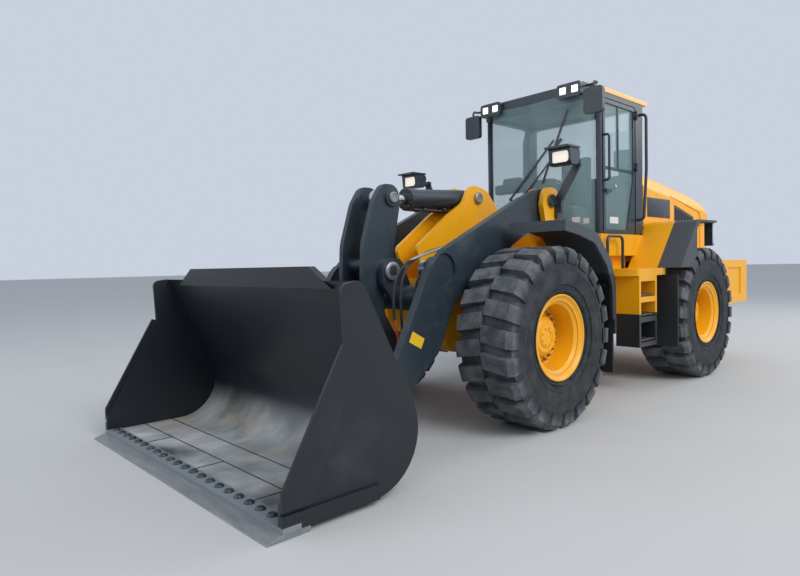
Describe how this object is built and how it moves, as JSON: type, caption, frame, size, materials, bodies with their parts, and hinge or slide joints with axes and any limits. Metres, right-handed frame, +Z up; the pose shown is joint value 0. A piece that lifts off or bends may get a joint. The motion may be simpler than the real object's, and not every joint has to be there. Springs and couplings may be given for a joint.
{
  "type": "articulated wheel loader",
  "caption": "Articulated wheel loader with a Z-bar arm, straight bucket, glazed cab, lugged tyres and hinged rear hood.",
  "frame": {"origin": "on the ground under the middle of the machine's bounding box", "axes": "+X forward, +Y to the operator's left, +Z up"},
  "size_m": [8.184, 2.9, 3.4539],
  "materials": {
    "black_paint": "satin",
    "orange_paint": "satin",
    "worn_steel": "worn",
    "chrome_rod": "polished",
    "grey_plastic": "matte",
    "clear_glass": "clear",
    "tyre_rubber": "matte",
    "seat_cloth": "matte",
    "engine_iron": "rough"
  },
  "bodies": {
    "rear": {"rear_frame": "orange_paint", "rear_axle": "orange_paint", "counterweight": "orange_paint", "engine": "engine_iron", "radiator": "black_paint", "platforms": "orange_paint", "rear_fenders": "grey_plastic", "cab_frame": "black_paint", "cab_roof": "orange_paint", "windscreen": "clear_glass", "cab_glass": "clear_glass", "seat": "seat_cloth", "console": "grey_plastic", "work_lamps": "black_paint", "mirrors": "black_paint", "handrails": "black_paint"},
    "front": {"front_frame": "orange_paint", "front_axle": "orange_paint", "front_fenders": "grey_plastic", "headlamps": "black_paint"},
    "wheel_front_left": {"tyre_front_left": "tyre_rubber", "rim_front_left": "orange_paint"},
    "wheel_front_right": {"tyre_front_right": "tyre_rubber", "rim_front_right": "orange_paint"},
    "wheel_rear_left": {"tyre_rear_left": "tyre_rubber", "rim_rear_left": "orange_paint"},
    "wheel_rear_right": {"tyre_rear_right": "tyre_rubber", "rim_rear_right": "orange_paint"},
    "arms": {"lift_arms": "black_paint"},
    "crank": {"bell_crank": "black_paint"},
    "bucket_body": {"bucket": "black_paint", "cutting_edge": "worn_steel"},
    "link": {"bucket_link": "black_paint"},
    "lift_cylinder": {"lift_barrels": "black_paint"},
    "lift_piston": {"lift_rods": "chrome_rod"},
    "tilt_cylinder": {"tilt_barrel": "black_paint"},
    "tilt_piston": {"tilt_rod": "chrome_rod"},
    "steer_cylinder_left": {"steer_barrel_left": "black_paint"},
    "steer_piston_left": {"steer_rod_left": "chrome_rod"},
    "steer_cylinder_right": {"steer_barrel_right": "black_paint"},
    "steer_piston_right": {"steer_rod_right": "chrome_rod"},
    "door": {"door_frame": "black_paint", "door_glass": "clear_glass"},
    "hood_body": {"hood": "orange_paint", "hood_grilles": "grey_plastic", "exhaust": "black_paint"}
  },
  "joints": [
    {"name": "articulation", "type": "hinge", "parent": "rear", "child": "front", "pos_m": [-0.572, 0, 0.98], "axis": [0, 0, 1], "range_deg": [-40, 40]},
    {"name": "spin_front_left", "type": "hinge", "parent": "front", "child": "wheel_front_left", "pos_m": [1.078, 1.065, 0.8], "axis": [0, 1, 0], "continuous": true},
    {"name": "spin_front_right", "type": "hinge", "parent": "front", "child": "wheel_front_right", "pos_m": [1.078, -1.065, 0.8], "axis": [0, 1, 0], "continuous": true},
    {"name": "spin_rear_left", "type": "hinge", "parent": "rear", "child": "wheel_rear_left", "pos_m": [-2.222, 1.065, 0.8], "axis": [0, 1, 0], "continuous": true},
    {"name": "spin_rear_right", "type": "hinge", "parent": "rear", "child": "wheel_rear_right", "pos_m": [-2.222, -1.065, 0.8], "axis": [0, 1, 0], "continuous": true},
    {"name": "lift", "type": "hinge", "parent": "front", "child": "arms", "pos_m": [0.368, 0, 2.08], "axis": [0, -1, 0], "range_deg": [0, 80]},
    {"name": "bucket_tilt", "type": "hinge", "parent": "arms", "child": "bucket_body", "pos_m": [2.628, 0, 0.38], "axis": [0, 1, 0], "range_deg": [-40, 120]},
    {"name": "crank_turn", "type": "hinge", "parent": "arms", "child": "crank", "pos_m": [2.088, 0, 1.41], "axis": [0, -1, 0], "range_deg": [-10, 28]},
    {"name": "link_turn", "type": "hinge", "parent": "bucket_body", "child": "link", "pos_m": [2.825, 0, 0.623], "axis": [0, -1, 0], "range_deg": [-30, 90]},
    {"name": "lift_cylinder_turn", "type": "hinge", "parent": "front", "child": "lift_cylinder", "pos_m": [0.328, 0, 0.8], "axis": [0, -1, 0], "range_deg": [-2, 60]},
    {"name": "lift_stroke", "type": "slide", "parent": "lift_cylinder", "child": "lift_piston", "axis": [0.9285, 0, 0.3714], "range_m": [-0.01, 1.2]},
    {"name": "tilt_cylinder_turn", "type": "hinge", "parent": "front", "child": "tilt_cylinder", "pos_m": [0.768, 0, 2.14], "axis": [0, -1, 0], "range_deg": [-2, 110]},
    {"name": "tilt_stroke", "type": "slide", "parent": "tilt_cylinder", "child": "tilt_piston", "axis": [0.9984, 0, -0.0568], "range_m": [-0.02, 0.2]},
    {"name": "steer_turn_left", "type": "hinge", "parent": "rear", "child": "steer_cylinder_left", "pos_m": [-1.372, 0.29, 0.9], "axis": [0, 0, 1], "range_deg": [-16, 16]},
    {"name": "steer_stroke_left", "type": "slide", "parent": "steer_cylinder_left", "child": "steer_piston_left", "axis": [0.9859, 0.1674, 0], "range_m": [-0.3, 0.3]},
    {"name": "steer_turn_right", "type": "hinge", "parent": "rear", "child": "steer_cylinder_right", "pos_m": [-1.372, -0.29, 0.9], "axis": [0, 0, 1], "range_deg": [-16, 16]},
    {"name": "steer_stroke_right", "type": "slide", "parent": "steer_cylinder_right", "child": "steer_piston_right", "axis": [0.9859, -0.1674, 0], "range_m": [-0.3, 0.3]},
    {"name": "door_swing", "type": "hinge", "parent": "rear", "child": "door", "pos_m": [-1.424, 0.814, 2.5], "axis": [0, 0, 1], "range_deg": [0, 90]},
    {"name": "hood_tilt", "type": "hinge", "parent": "rear", "child": "hood_body", "pos_m": [-3.795, 0, 1.715], "axis": [0, -1, 0], "range_deg": [0, 60]}
  ],
  "couplings": [
    {"joint": "crank_turn", "follows": "bucket_tilt", "ratio": 0.168},
    {"joint": "link_turn", "follows": "bucket_tilt", "ratio": 0.62},
    {"joint": "lift_cylinder_turn", "follows": "lift", "ratio": 0.606},
    {"joint": "lift_stroke", "follows": "lift", "m_per_rad": 0.823},
    {"joint": "tilt_cylinder_turn", "follows": "lift", "ratio": 1.21},
    {"joint": "tilt_stroke", "follows": "lift", "m_per_rad": 0.107},
    {"joint": "steer_turn_left", "follows": "articulation", "ratio": 0.289},
    {"joint": "steer_stroke_left", "follows": "articulation", "m_per_rad": -0.407},
    {"joint": "steer_turn_right", "follows": "articulation", "ratio": 0.289},
    {"joint": "steer_stroke_right", "follows": "articulation", "m_per_rad": 0.407}
  ]
}
